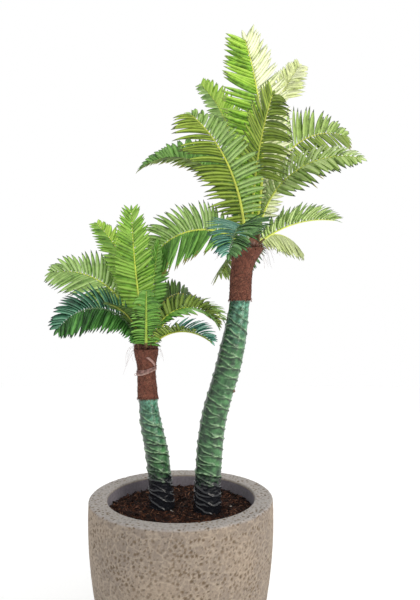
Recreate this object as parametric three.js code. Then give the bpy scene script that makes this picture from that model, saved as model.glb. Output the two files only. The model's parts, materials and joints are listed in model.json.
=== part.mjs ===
// Artificial palm: two leaning trunks with feather fronds, standing in a round stone-look pot.
// Millimetres, +Z up. The origin is the centre of the pot's flat underside.
// +X is to the right of the front view and +Y points to the back.
import * as THREE from "three";

// Clearance between pieces that touch
const gap = 0.3;

// Pot and its filling
const potHeight = 380;
const footRadius = 146;
const footRounding = 12;
const bellyRadius = 201;
const bellyHeight = 330;
const rimRounding = 5;
const potWall = 40;
const potFloor = 40;
const soilDrop = 29;
const soilTop = potHeight - soilDrop;
const potSides = 36;
const potSteps = 5;
const edgeSteps = 2;
const innerEdgeSteps = 3;

// Trunks: axis points are x, y and height above the soil, the last one is the centre of the head
const trunkSides = 20;
const ringPitch = 22;
const ringRelief = 1.4;
const flareWidth = 4;
const flareHeight = 26;
const domeSteps = 6;
const collarLength = 12;
const trunks = {
  tall: {
    axis: [
      [57, -13, 0],
      [59, -12, 80],
      [70, -10, 195],
      [105, -8, 325],
      [127, -7, 450],
      [134, -6, 535],
      [150, -5, 577],
    ],
    footRadius: 28.5,
    neckRadius: 21.5,
    taperFrom: 320,
    taperTo: 480,
    headRadius: 19.7,
    sheathFrom: 457,
    sheathTo: 570,
    sheathFlare: 9,
  },
  small: {
    axis: [
      [-43, 13, 0],
      [-47, 12, 60],
      [-55, 10, 127],
      [-68, 8.5, 194],
      [-75, 7, 270],
      [-77, 5, 355],
    ],
    footRadius: 26,
    neckRadius: 17,
    taperFrom: 120,
    taperTo: 330,
    headRadius: 17.7,
    sheathFrom: 242,
    sheathTo: 351,
    sheathFlare: 8,
  },
};

// Fibre sheaths round the trunk tops and the tie round the small one
const sheathThickness = 1.6;
const sheathFlareLength = 46;
const sheathSteps = 8;
const tieStep = 4;
const tieThickness = 1.6;

// Fronds: a rib bent to an arc, with pointed leaflets along both sides
const ribWidth = 7;
const ribDepth = 4.5;
const ribTip = 1.6;
const splitDroop = 90;
const stalkPitch = 40;
const leafletPitch = 13;
const leafletFrom = 0.14;
const leafletAngleFoot = 74;
const leafletAngleTip = 36;
const leafletSag = 0.2;
const leafletSwellFrom = 0.12;
const leafletSwellTo = 0.95;
const leafletSwellPower = 0.7;
const endLeaflet = 0.25;
const leafletClearance = 1.4;
const leafletCuts = [1, 0.75, 0.5, 0.3];

// Azimuth turns from +X towards +Y. Seat is how high on the head the stalk stands, rise its climb there,
// droop how far it bends down by the tip. Roll turns the blade about the rib and lift folds it upward.
// Bare is the share of the rib without leaflets. The rest are degrees and millimetres:
// azimuth, seat, rise, droop, length, leaflet length, roll, lift, bare, tint
const fronds = {
  tall: [
    [-15, 60, 79, -28, 428, 98, 88, 12, 0.1, "lime"],
    [52, 60, 88, 46, 476, 66, -45, 15, 0.72, "pale"],
    [-78, 60, 88, 55, 308, 86, 55, 10, 0.4, "olive"],
    [232, 30, 86, 69, 308, 96, -12, 5, 0.06, "fresh"],
    [119, 60, 88, 54, 456, 62, 45, 15, 0.3, "fresh"],
    [143, 42, 84, 106, 413, 74, 45, 20, 0.14, "deep"],
    [40, 30, 88, 93, 456, 96, -65, 15, 0.14, "fresh"],
    [-27, 30, 88, 104, 304, 78, -55, 10, 0.06, "fresh"],
    [-2, 12, 40, 47, 172, 70, -10, 48, 0.06, "olive"],
    [52, 12, 30, 66, 212, 60, -25, -40, 0.1, "pale"],
    [260, 12, 22, 59, 313, 74, 0, 25, 0.06, "blue"],
    [160, 12, 38, 110, 286, 84, 80, 8, 0.06, "fresh"],
    [117, 12, -10, 34, 142, 64, 20, -30, 0.14, "olive"],
    [92, 30, 68, 84, 320, 70, 0, 15, 0.14, "deep"],
    [88, 12, 24, 70, 270, 62, 0, 10, 0.14, "deep"],
  ],
  small: [
    [180, 84, 80, -8, 279, 60, 88, 15, 0.08, "lime"],
    [70, 60, 82, 14, 225, 42, -50, 25, 0.3, "fresh"],
    [-84, 0, 58, 41, 208, 40, 0, 12, 0.02, "lime"],
    [165, 12, 86, 97, 293, 80, 55, 12, 0.08, "fresh"],
    [226, 12, 72, 118, 247, 66, 65, 5, 0.06, "blue"],
    [247, 30, 58, 50, 164, 48, 10, 15, 0.06, "olive"],
    [57, 30, 88, 122, 230, 50, -55, 12, 0.14, "olive"],
    [37, 12, 73, 118, 238, 50, -10, 45, 0.3, "olive"],
    [-39, 12, 40, 68, 173, 52, -10, 40, 0.06, "deep"],
    [143, 60, 87, 52, 306, 54, 35, 15, 0.1, "lime"],
    [132, 28, 88, 65, 245, 55, 35, 15, 0.1, "deep"],
    [118, 12, 48, 80, 220, 50, 0, 10, 0.14, "deep"],
    [20, 30, 86, 149, 206, 44, -40, 30, 0.1, "fresh"],
    [95, 30, 66, 84, 260, 60, 0, 15, 0.14, "deep"],
  ],
};

const materials = {
  pot: new THREE.MeshStandardMaterial({ color: "#958576", roughness: 0.9, metalness: 0 }),
  soil: new THREE.MeshStandardMaterial({ color: "#2a1a12", roughness: 1, metalness: 0 }),
  trunk: new THREE.MeshStandardMaterial({ color: "#5d8767", roughness: 0.55, metalness: 0 }),
  sheath: new THREE.MeshStandardMaterial({ color: "#683f32", roughness: 0.95, metalness: 0 }),
  tie: new THREE.MeshStandardMaterial({ color: "#8a6a55", roughness: 0.9, metalness: 0 }),
  lime: new THREE.MeshStandardMaterial({ color: "#8fbd48", roughness: 0.5, metalness: 0 }),
  pale: new THREE.MeshStandardMaterial({ color: "#c3d988", roughness: 0.5, metalness: 0 }),
  fresh: new THREE.MeshStandardMaterial({ color: "#7fae55", roughness: 0.5, metalness: 0 }),
  olive: new THREE.MeshStandardMaterial({ color: "#6f8a3c", roughness: 0.5, metalness: 0 }),
  deep: new THREE.MeshStandardMaterial({ color: "#4d7245", roughness: 0.5, metalness: 0 }),
  blue: new THREE.MeshStandardMaterial({ color: "#5b8a7c", roughness: 0.5, metalness: 0 }),
};

const palm = new THREE.Group();

function addMesh(name, geometry, material) {
  const mesh = new THREE.Mesh(geometry, material);
  mesh.name = name;
  palm.add(mesh);
}

// A lathe round +Z from points of radius and height
function turned(profile, sides) {
  const points = profile.map(([radius, height]) => new THREE.Vector2(radius, height));
  return new THREE.LatheGeometry(points, sides).rotateX(Math.PI / 2);
}

function arcPoints(radius, height, size, fromDegrees, toDegrees, steps) {
  const points = [];
  for (let i = 0; i <= steps; i += 1) {
    const angle = THREE.MathUtils.degToRad(THREE.MathUtils.lerp(fromDegrees, toDegrees, i / steps));
    points.push([radius + size * Math.cos(angle), height + size * Math.sin(angle)]);
  }
  return points;
}

function evenSteps(from, to, steps) {
  return Array.from({ length: steps + 1 }, (_, i) => THREE.MathUtils.lerp(from, to, i / steps));
}

// Pot

function potRadiusAt(height) {
  const spread = (bellyRadius - footRadius) / bellyHeight ** 2;
  return bellyRadius - spread * (height - bellyHeight) ** 2;
}

function makePot() {
  const rimHeight = potHeight - rimRounding;
  const footCentre = potRadiusAt(footRounding) - footRounding;
  const outerRimCentre = potRadiusAt(rimHeight) - rimRounding;
  const innerRimCentre = potRadiusAt(rimHeight) - potWall + rimRounding;
  const wall = evenSteps(footRounding, rimHeight, potSteps);
  const inside = evenSteps(potFloor, soilTop, potSteps).reverse();
  const profile = [
    [0, 0],
    ...arcPoints(footCentre, footRounding, footRounding, -90, -30, edgeSteps),
    ...wall.map((height) => [potRadiusAt(height), height]),
    ...arcPoints(outerRimCentre, rimHeight, rimRounding, 30, 90, edgeSteps),
    ...arcPoints(innerRimCentre, rimHeight, rimRounding, 90, 180, innerEdgeSteps),
    ...inside.map((height) => [potRadiusAt(height) - potWall, height]),
    [0, potFloor],
  ];
  addMesh("pot", turned(profile, potSides), materials.pot);
}

// The filling bends at the same heights as the pot's inside
function makeSoil() {
  const heights = evenSteps(potFloor, soilTop, potSteps);
  heights[0] += gap;
  const profile = [
    [0, heights[0]],
    ...heights.map((height) => [potRadiusAt(height) - potWall - gap, height]),
    [0, soilTop],
  ];
  addMesh("soil", turned(profile, potSides), materials.soil);
}

// Trunks

function axisOf(trunk) {
  const heights = trunk.axis.map((point) => point[2]);
  const offsets = trunk.axis.flatMap((point) => [point[0], point[1]]);
  const spline = new THREE.CubicInterpolant(heights, offsets, 2);
  return (height) => {
    const [x, y] = spline.evaluate(height);
    return new THREE.Vector3(x, y, soilTop + gap + height);
  };
}

function headHeight(trunk) {
  return trunk.axis[trunk.axis.length - 1][2];
}

function trunkRadiusAt(trunk, height) {
  const taper = THREE.MathUtils.smoothstep(height, trunk.taperFrom, trunk.taperTo);
  const shaft = THREE.MathUtils.lerp(trunk.footRadius, trunk.neckRadius, taper);
  return shaft + flareWidth * Math.exp(-height / flareHeight);
}

// Moves every section of an upright turned solid sideways onto the trunk's axis
function leanOnAxis(geometry, axisAt) {
  const position = geometry.getAttribute("position");
  for (let i = 0; i < position.count; i += 1) {
    const centre = axisAt(position.getZ(i));
    position.setXYZ(i, position.getX(i) + centre.x, position.getY(i) + centre.y, centre.z);
  }
  return geometry;
}

function makeTrunk(name, trunk) {
  const top = headHeight(trunk);
  const profile = [
    [0, 0],
    [trunkRadiusAt(trunk, 0), 0],
  ];
  const rings = Math.floor(trunk.sheathFrom / ringPitch);
  for (let ring = 1; ring <= rings; ring += 1) {
    const ridge = ring * ringPitch;
    const groove = ridge - ringPitch / 2;
    profile.push([trunkRadiusAt(trunk, groove), groove]);
    profile.push([trunkRadiusAt(trunk, ridge) + ringRelief, ridge]);
  }
  const covered = sheathHeights(trunk).filter((height) => height < top - 2 * collarLength);
  covered.forEach((height) => profile.push([trunkRadiusAt(trunk, height), height]));
  profile.push([trunk.headRadius, top - collarLength]);
  profile.push(...arcPoints(0, top, trunk.headRadius, 0, 90, domeSteps));
  profile[profile.length - 1][0] = 0;
  addMesh(`trunk_${name}`, leanOnAxis(turned(profile, trunkSides), axisOf(trunk)), materials.trunk);
}

// Sheaths

// Trunk and sheath bend at the same heights, so that they stay apart between them
function sheathHeights(trunk) {
  return evenSteps(trunk.sheathFrom, trunk.sheathTo, sheathSteps);
}

function sheathRadiusAt(trunk, height) {
  const flare = THREE.MathUtils.smoothstep(height, trunk.sheathTo - sheathFlareLength, trunk.sheathTo);
  return trunkRadiusAt(trunk, height) + gap + sheathThickness + flare * trunk.sheathFlare;
}

// A sleeve closed on itself, from its inner and outer radius at each height
function sleeve(heights, innerAt, outerAt) {
  const outer = heights.map((height) => [outerAt(height), height]);
  const inner = heights.map((height) => [innerAt(height), height]).reverse();
  return turned([...outer, ...inner, outer[0]], trunkSides);
}

function makeSheath(name, trunk) {
  const outerAt = (height) => sheathRadiusAt(trunk, height);
  const innerAt = (height) => outerAt(height) - sheathThickness;
  const geometry = sleeve(sheathHeights(trunk), innerAt, outerAt);
  addMesh(`sheath_${name}`, leanOnAxis(geometry, axisOf(trunk)), materials.sheath);
}

// The tie covers one step of the sheath's heights
function makeTie(trunk) {
  const innerAt = (height) => sheathRadiusAt(trunk, height) + gap;
  const outerAt = (height) => innerAt(height) + tieThickness;
  const geometry = sleeve(sheathHeights(trunk).slice(tieStep, tieStep + 2), innerAt, outerAt);
  addMesh("tie_small", leanOnAxis(geometry, axisOf(trunk)), materials.tie);
}

// Fronds

function readFrond(row, trunk) {
  const [azimuth, seat, rise, droop, length, leaf, roll, lift, bare, tint] = row;
  const toRad = THREE.MathUtils.degToRad;
  const frond = { length, leaf, bare, tint };
  frond.azimuth = toRad(azimuth);
  frond.seat = toRad(seat);
  frond.rise = toRad(rise);
  frond.droop = toRad(droop);
  frond.roll = toRad(roll);
  frond.lift = toRad(lift);
  frond.outward = new THREE.Vector3(Math.cos(frond.azimuth), Math.sin(frond.azimuth), 0);
  frond.start = stalkFoot(frond, axisOf(trunk)(headHeight(trunk)), trunk.headRadius);
  return frond;
}

function climb(frond, elevation) {
  return frond.outward.clone().multiplyScalar(Math.cos(elevation)).setZ(Math.sin(elevation));
}

// Directions along the rib, across the blade and out of its upper face
function ribFrame(frond, t) {
  const along = climb(frond, frond.rise - frond.droop * t);
  const across = new THREE.Vector3(frond.outward.y, -frond.outward.x, 0).applyAxisAngle(along, -frond.roll);
  const up = new THREE.Vector3().crossVectors(across, along);
  return { along, across, up };
}

// The stalk's foot stands the gap away from the head, measured at the foot's nearest point
function stalkFoot(frond, head, headRadius) {
  const outOfHead = climb(frond, frond.seat);
  const { across, up } = ribFrame(frond, 0);
  const clear = headRadius + gap;
  const nearestAlong = (direction, half) =>
    THREE.MathUtils.clamp(-clear * direction.dot(outOfHead), -half, half);
  const nearest = across.clone().multiplyScalar(nearestAlong(across, ribWidth / 2));
  nearest.addScaledVector(up, nearestAlong(up, ribDepth / 2));
  const reach = -nearest.dot(outOfHead);
  const sidewaysSquared = nearest.lengthSq() - reach ** 2;
  return head.clone().addScaledVector(outOfHead, reach + Math.sqrt(clear ** 2 - sidewaysSquared));
}

function ribPoint(frond, t) {
  const elevation = frond.rise - frond.droop * t;
  const bendRadius = frond.length / frond.droop;
  const out = bendRadius * (Math.sin(frond.rise) - Math.sin(elevation));
  const up = bendRadius * (Math.cos(elevation) - Math.cos(frond.rise));
  return frond.start.clone().addScaledVector(frond.outward, out).add(new THREE.Vector3(0, 0, up));
}

function ribStations(frond) {
  const stalkSteps = Math.ceil(frond.length * frond.bare / stalkPitch);
  const leafSteps = Math.round(frond.length * (1 - frond.bare) / leafletPitch);
  return [...evenSteps(0, frond.bare, stalkSteps), ...evenSteps(frond.bare, 1, leafSteps).slice(1)];
}

// The leaflet at the rib's end carries straight on
function frondTip(frond) {
  return ribPoint(frond, 1).addScaledVector(ribFrame(frond, 1).along, endLeaflet * frond.leaf);
}

// Corners of the rib's section, counter-clockwise seen from the tip
function ribCorners(frond, t) {
  const { across, up } = ribFrame(frond, t);
  const centre = ribPoint(frond, t);
  const halfWidth = THREE.MathUtils.lerp(ribWidth, ribTip, t) / 2;
  const halfDepth = THREE.MathUtils.lerp(ribDepth, ribTip, t) / 2;
  const signs = [[1, 1], [1, -1], [-1, -1], [-1, 1]];
  return signs.map(([side, face]) =>
    centre.clone().addScaledVector(across, side * halfWidth).addScaledVector(up, face * halfDepth));
}

function leafletLine(frond, t, side, cut) {
  const along01 = Math.max(0, (t - leafletFrom) / (1 - leafletFrom));
  const { across, up, along } = ribFrame(frond, t);
  const angle = THREE.MathUtils.degToRad(THREE.MathUtils.lerp(leafletAngleFoot, leafletAngleTip, along01));
  const swell = Math.sin(Math.PI * THREE.MathUtils.lerp(leafletSwellFrom, leafletSwellTo, along01));
  const length = cut * frond.leaf * swell ** leafletSwellPower;
  const sideways = across.multiplyScalar(side * Math.cos(frond.lift));
  sideways.addScaledVector(up, Math.sin(frond.lift));
  const root = ribPoint(frond, t);
  const direction = along.multiplyScalar(Math.cos(angle)).addScaledVector(sideways, Math.sin(angle));
  const tip = root.clone().addScaledVector(direction, length);
  tip.z -= leafletSag * length * Math.hypot(direction.x, direction.y);
  return new THREE.Line3(root, tip);
}

// Tapered rods that stand for the limbs, ribs and leaflets placed so far
const placed = [];

function addRod(owner, line, startRadius, endRadius) {
  const reach = line.distance() / 2 + Math.max(startRadius, endRadius);
  placed.push({ owner, line, startRadius, endRadius, reach, middle: line.getCenter(new THREE.Vector3()) });
}

function isClear(owner, line, rootRadius) {
  const middle = line.getCenter(new THREE.Vector3());
  const reach = line.distance() / 2 + rootRadius + leafletClearance;
  const nearHere = new THREE.Vector3();
  const nearThere = new THREE.Vector3();
  return placed.every((rod) => {
    if (rod.owner === owner || middle.distanceTo(rod.middle) > reach + rod.reach) {
      return true;
    }
    const distance = Math.sqrt(line.distanceSqToLine3(rod.line, nearHere, nearThere));
    const here = rootRadius * (1 - nearHere.distanceTo(line.start) / line.distance());
    const there = nearThere.distanceTo(rod.line.start) / rod.line.distance();
    return distance > here + THREE.MathUtils.lerp(rod.startRadius, rod.endRadius, there) + leafletClearance;
  });
}

function addTrunkRods(name, trunk) {
  const axisAt = axisOf(trunk);
  const top = headHeight(trunk);
  const widest = trunk.neckRadius + gap + sheathThickness + trunk.sheathFlare;
  for (let height = 0; height < top; height += ringPitch) {
    const line = new THREE.Line3(axisAt(height), axisAt(Math.min(height + ringPitch, top)));
    const radius = height < trunk.sheathFrom ? trunkRadiusAt(trunk, height) + ringRelief : widest;
    addRod(`trunk_${name}`, line, radius, radius);
  }
}

function addRibRods(name, frond) {
  const stations = ribStations(frond);
  for (let i = 1; i < stations.length; i += 1) {
    const line = new THREE.Line3(ribPoint(frond, stations[i - 1]), ribPoint(frond, stations[i]));
    addRod(name, line, ribWidth / 2, ribWidth / 2);
  }
  addRod(name, new THREE.Line3(ribPoint(frond, 1), frondTip(frond)), ribTip, 0);
}

// The longest leaflet that stays clear of everything placed before it, or nothing
function placeLeaflet(name, frond, t, side) {
  const rootRadius = leafletPitch / 2;
  for (const cut of leafletCuts) {
    const line = leafletLine(frond, t, side, cut);
    if (isClear(name, line, rootRadius)) {
      addRod(name, line, rootRadius, 0);
      return line.end;
    }
  }
  return null;
}

// A frond that bends round a wide space is two pieces, parted at the middle of the bend
function frondSpans(name, frond) {
  const stations = ribStations(frond);
  if (frond.droop < THREE.MathUtils.degToRad(splitDroop)) {
    return [[name, stations]];
  }
  const cut = Math.round(stations.length / 2);
  const outer = stations.slice(cut);
  outer[0] += gap / frond.length;
  return [[`${name}_inner`, stations.slice(0, cut + 1)], [`${name}_outer`, outer]];
}

function makeFrondPiece(pieceName, stations, name, frond) {
  const points = stations.flatMap((t) => ribCorners(frond, t));
  const faces = [];
  const addQuad = (a, b, c, d) => faces.push(a, b, c, a, c, d);
  addQuad(3, 2, 1, 0);
  for (let i = 1; i < stations.length; i += 1) {
    const near = 4 * (i - 1);
    const far = 4 * i;
    addQuad(near + 1, near + 2, far + 2, far + 1);
    addQuad(near + 3, near, far, far + 3);
    for (const [side, first, second] of [[1, 0, 1], [-1, 2, 3]]) {
      const ring = [near + first, near + second, far + second, far + first];
      const middle = (stations[i - 1] + stations[i]) / 2;
      const tip = middle > frond.bare ? placeLeaflet(name, frond, middle, side) : null;
      if (tip === null) {
        addQuad(...ring);
        continue;
      }
      const tipIndex = points.push(tip) - 1;
      ring.forEach((corner, k) => faces.push(corner, ring[(k + 1) % 4], tipIndex));
    }
  }
  const last = 4 * (stations.length - 1);
  if (stations[stations.length - 1] < 1) {
    addQuad(last, last + 1, last + 2, last + 3);
  } else {
    const tipIndex = points.push(frondTip(frond)) - 1;
    [0, 1, 2, 3].forEach((k) => faces.push(last + k, last + (k + 1) % 4, tipIndex));
  }
  const geometry = new THREE.BufferGeometry().setFromPoints(points);
  geometry.setIndex(faces);
  addMesh(pieceName, geometry, materials[frond.tint]);
}

function makeFrond(name, frond) {
  frondSpans(name, frond).forEach(([pieceName, stations]) => {
    makeFrondPiece(pieceName, stations, name, frond);
  });
}

makePot();
makeSoil();
const crowns = [];
for (const [name, trunk] of Object.entries(trunks)) {
  makeTrunk(name, trunk);
  makeSheath(name, trunk);
  addTrunkRods(name, trunk);
  fronds[name].forEach((row, i) => {
    const number = String(i + 1).padStart(2, "0");
    crowns.push([`frond_${name}_${number}`, readFrond(row, trunk)]);
  });
}
makeTie(trunks.small);
crowns.forEach(([name, frond]) => addRibRods(name, frond));
crowns.forEach(([name, frond]) => makeFrond(name, frond));

export default palm;
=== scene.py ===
import json
import random
from itertools import product
from math import atan2, cos, exp, hypot, pi, radians, sin, sqrt, tan

import bpy
import numpy as np
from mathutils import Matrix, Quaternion, Vector, kdtree, noise


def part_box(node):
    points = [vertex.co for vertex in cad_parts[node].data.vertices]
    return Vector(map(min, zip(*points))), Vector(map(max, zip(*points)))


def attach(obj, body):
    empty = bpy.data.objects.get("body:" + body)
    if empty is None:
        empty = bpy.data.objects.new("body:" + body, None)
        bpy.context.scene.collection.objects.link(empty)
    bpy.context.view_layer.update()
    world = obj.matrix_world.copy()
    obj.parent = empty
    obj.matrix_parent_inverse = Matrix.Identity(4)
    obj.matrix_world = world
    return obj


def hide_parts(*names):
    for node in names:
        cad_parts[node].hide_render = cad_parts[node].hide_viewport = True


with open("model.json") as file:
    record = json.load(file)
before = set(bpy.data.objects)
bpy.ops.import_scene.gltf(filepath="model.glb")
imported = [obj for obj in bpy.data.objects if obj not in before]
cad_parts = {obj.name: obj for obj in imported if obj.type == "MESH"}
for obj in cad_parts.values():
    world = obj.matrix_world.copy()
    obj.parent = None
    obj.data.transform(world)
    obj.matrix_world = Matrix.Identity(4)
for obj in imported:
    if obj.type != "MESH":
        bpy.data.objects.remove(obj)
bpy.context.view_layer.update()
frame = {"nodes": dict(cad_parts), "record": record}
mm = 0.001
upward = Vector((0, 0, 1))


# colours and nodes

def linear(hexColour):
    shares = [int(hexColour[i:i + 2], 16) / 255 for i in (1, 3, 5)]
    return [c / 12.92 if c <= 0.04045 else ((c + 0.055) / 1.055) ** 2.4 for c in shares] + [1]


def feed(tree, node, inputs):  # each input takes a value, a socket, or a node's first output
    for key, source in inputs.items():
        if isinstance(source, bpy.types.Node):
            source = source.outputs[0]
        if isinstance(source, bpy.types.NodeSocket):
            tree.links.new(source, node.inputs[key])
        else:
            node.inputs[key].default_value = source


def addNode(tree, kind, inputs=None, stops=(), **settings):
    node = tree.nodes.new("ShaderNode" + kind)
    for key, value in settings.items():
        setattr(node, key, value)
    feed(tree, node, inputs or {})
    for i, (place, colour) in enumerate(stops):
        node.color_ramp.elements[i].position = place
        node.color_ramp.elements[i].color = linear(colour)
    return node


def newMaterial(name, sockets):
    material = bpy.data.materials.new(name)
    material.use_nodes = True
    shader = material.node_tree.nodes["Principled BSDF"]
    feed(material.node_tree, shader, sockets)
    return material, material.node_tree, shader


def patternScale(sizeMm):
    return 1000 / sizeMm  # texture repeats to the metre


def speckledPaint(name, colour, sockets, grain, stops, relief=None):  # one colour, darker in specks
    paint, tree, shader = newMaterial(name, sockets)
    place = addNode(tree, "TexCoord").outputs["Object"]
    specks = addNode(tree, "TexNoise", {"Vector": place, **grain})
    tone = addNode(tree, "ValToRGB", {"Fac": specks}, stops=stops)
    tint = addNode(tree, "MixRGB", {"Fac": 1, "Color1": tone, "Color2": linear(colour)},
                   blend_type="MULTIPLY")
    feed(tree, shader, {"Base Color": tint})
    if relief:
        feed(tree, shader, {"Normal": addNode(tree, "Bump", {"Height": specks, **relief})})
    return paint


# modelling steps that several pieces share

def clamp(value, low=0, high=1):
    return max(low, min(high, value))


def ringsOf(node):  # height, centre and outer radius of each ring of a turned CAD node
    points = np.array([v.co for v in frame["nodes"][node].data.vertices])
    rings = []
    for height in np.unique(points[:, 2].round(5)):
        ring = points[np.abs(points[:, 2] - height) < 1e-5]
        ring = np.unique(ring.round(6), axis=0)
        centre = (ring.min(0) + ring.max(0)) / 2
        rings.append((height, centre[0], centre[1], np.hypot(*(ring - centre)[:, :2].T).max()))
    return np.array(rings)


def extrudeRings(name, rings, sides):  # a filled circle, extruded and resized ring by ring
    centre, radius = rings[0]
    bpy.ops.object.select_all(action="DESELECT")
    bpy.ops.mesh.primitive_circle_add(vertices=sides, radius=radius, location=centre, fill_type="NGON")
    piece = bpy.context.object
    piece.name = piece.data.name = name
    bpy.ops.object.transform_apply(location=True)
    bpy.ops.object.mode_set(mode="EDIT")
    bpy.ops.mesh.select_all(action="SELECT")
    for nextCentre, nextRadius in rings[1:]:
        step = Vector(nextCentre) - Vector(centre)
        bpy.ops.mesh.extrude_region_move(TRANSFORM_OT_translate={"value": step})
        share = nextRadius / radius
        bpy.ops.transform.resize(value=(share, share, 1), center_override=nextCentre)
        centre, radius = nextCentre, nextRadius
    bpy.ops.mesh.select_all(action="DESELECT")
    bpy.ops.mesh.select_face_by_sides(number=4, type="NOTEQUAL")
    bpy.ops.mesh.delete(type="ONLY_FACE")  # the two end faces, closed again by closeEnds
    bpy.ops.object.mode_set(mode="OBJECT")
    return piece


def closeEnds(piece, bridged=False):
    bpy.ops.object.mode_set(mode="EDIT")
    bpy.ops.mesh.select_all(action="DESELECT")
    bpy.ops.mesh.select_non_manifold()
    if bridged:
        bpy.ops.mesh.bridge_edge_loops()
    else:
        bpy.ops.mesh.fill_holes(sides=0)
    bpy.ops.mesh.select_all(action="SELECT")
    bpy.ops.mesh.normals_make_consistent(inside=False)
    bpy.ops.object.mode_set(mode="OBJECT")


def addModifier(piece, kind, **settings):  # added and applied at once
    modifier = piece.modifiers.new(kind, kind)
    for key, value in settings.items():
        setattr(modifier, key, value)
    bpy.context.view_layer.objects.active = piece
    bpy.ops.object.modifier_apply(modifier=modifier.name)


def addRelief(piece, name, depths, strength, direction="NORMAL"):  # displaces by painted weights
    group = piece.vertex_groups.new(name=name)
    for index, depth in enumerate(depths):
        group.add([index], float(depth), "REPLACE")
    addModifier(piece, "DISPLACE", strength=strength, mid_level=0, vertex_group=name, direction=direction)


def addGrain(piece, name, sizeMm, strengthMm):
    grain = bpy.data.textures.new(name, "CLOUDS")
    grain.noise_scale = sizeMm * mm
    addModifier(piece, "DISPLACE", texture=grain, strength=strengthMm * mm, mid_level=0.5)


def storeMasks(piece, masks):  # masks that the material reads
    for name, values in masks.items():
        mask = piece.data.attributes.new(name, "FLOAT", "POINT")
        mask.data.foreach_set("value", np.array(values, np.float32))


def newMesh():
    return {"points": [], "faces": [], "slots": []}


def meshPiece(name, mesh, materials, smooth=True):
    data = bpy.data.meshes.new(name)
    data.from_pydata(mesh["points"], [], mesh["faces"])
    for material in materials:
        data.materials.append(material)
    data.polygons.foreach_set("material_index", mesh["slots"])
    data.polygons.foreach_set("use_smooth", [smooth] * len(mesh["faces"]))
    data.update()
    piece = bpy.data.objects.new(name, data)
    bpy.context.collection.objects.link(piece)
    return piece


def growTube(mesh, path, spokes, sides, slots):  # closed; two spokes to a point, a slot to a ring of faces
    points, faces = mesh["points"], mesh["faces"]
    first, last = len(points), len(path) - 1
    for place, (normal, side) in zip(path, spokes):
        for k in range(sides):
            a = 2 * pi * k / sides
            points.append(place + normal * cos(a) + side * sin(a))
    for i in range(last):
        low, high = first + i * sides, first + (i + 1) * sides
        for k in range(sides):
            after = (k + 1) % sides
            faces.append((low + k, low + after, high + after, high + k))
            mesh["slots"].append(slots[i])
    faces.append(tuple(first + k for k in reversed(range(sides))))
    faces.append(tuple(first + last * sides + k for k in range(sides)))
    mesh["slots"] += [slots[0], slots[-1]]


def growStrand(mesh, path, radii, sides, slot):  # round, its spokes carried along without twisting
    last = len(path) - 1
    normal = (path[1] - path[0]).orthogonal()
    spokes = []
    for i, radius in enumerate(radii):
        tangent = (path[min(i + 1, last)] - path[max(i - 1, 0)]).normalized()
        normal = (normal - tangent * normal.dot(tangent)).normalized()
        spokes.append((normal * radius, tangent.cross(normal) * radius))
    growTube(mesh, path, spokes, sides, [slot] * last)


def settle(piece, slot, *nodes):
    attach(piece, "root")
    if nodes:
        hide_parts(*nodes)


def dress(piece, paint, slot, node):  # a turned piece, still selected
    bpy.ops.object.shade_smooth()
    piece.data.materials.append(paint)
    settle(piece, slot, node)


# camera, light and floor

view = {"place": (0.063, -1.4, 0.839), "pitchDown": 1.24, "tallAngle": 50, "longSide": 36}

camera = bpy.data.cameras.new("photoCamera")
camera.sensor_width = view["longSide"]
camera.lens = view["longSide"] / 2 / tan(radians(view["tallAngle"] / 2))
cameraStand = bpy.data.objects.new("photoCamera", camera)
cameraStand.location = view["place"]
cameraStand.rotation_euler = (radians(90 - view["pitchDown"]), 0, 0)
bpy.context.collection.objects.link(cameraStand)
bpy.context.scene.camera = cameraStand

studio = {
    "sky": "#ffffff", "skyStrength": 1.0,
    "lamps": {  # place, aimed at, width and height in metres, watts, colour
        "windowRight": ((1.6, -1.5, 1.15), (0.05, 0, 0.8), 0.9, 1.6, 24, "#fff8ee"),
        "topBack": ((0.5, 1.2, 2.6), (0.1, 0, 1.0), 1.2, 1.2, 8, "#ffffff"),
    },
    "floorSize": 8, "floor": ("#fcfcfb", "#ffffff"), "floorMottle": 900,
}

world = bpy.data.worlds.new("studioSky")
world.use_nodes = True
world.node_tree.nodes["Background"].inputs["Color"].default_value = linear(studio["sky"])
world.node_tree.nodes["Background"].inputs["Strength"].default_value = studio["skyStrength"]
bpy.context.scene.world = world
bpy.context.scene.view_settings.view_transform = "Standard"

for name, (place, target, width, tall, watts, colour) in studio["lamps"].items():
    lamp = bpy.data.lights.new(name, "AREA")
    lamp.shape = "RECTANGLE"
    lamp.size = width
    lamp.size_y = tall
    lamp.energy = watts
    lamp.color = linear(colour)[:3]
    stand = bpy.data.objects.new(name, lamp)
    stand.location = place
    stand.rotation_mode = "QUATERNION"
    stand.rotation_quaternion = (Vector(target) - Vector(place)).to_track_quat("-Z", "Y")
    bpy.context.collection.objects.link(stand)

bpy.ops.object.select_all(action="DESELECT")
bpy.ops.mesh.primitive_plane_add(size=studio["floorSize"])
floor = bpy.context.object
floor.name = "studioFloor"
floorPaint, floorTree, floorShader = newMaterial("mattPaintedFloor", {"Roughness": 0.9})
floorMottle = addNode(floorTree, "TexNoise", {"Scale": patternScale(studio["floorMottle"])})
floorTint = addNode(floorTree, "ValToRGB", {"Fac": floorMottle},
                    stops=zip((0.35, 0.65), studio["floor"]))
feed(floorTree, floorShader, {"Base Color": floorTint})
floor.data.materials.append(floorPaint)
print("camera, lamps and floor in place")


# pot: cast stone-look mix, matt, with a worn web of dents outside and a smooth inside

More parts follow.
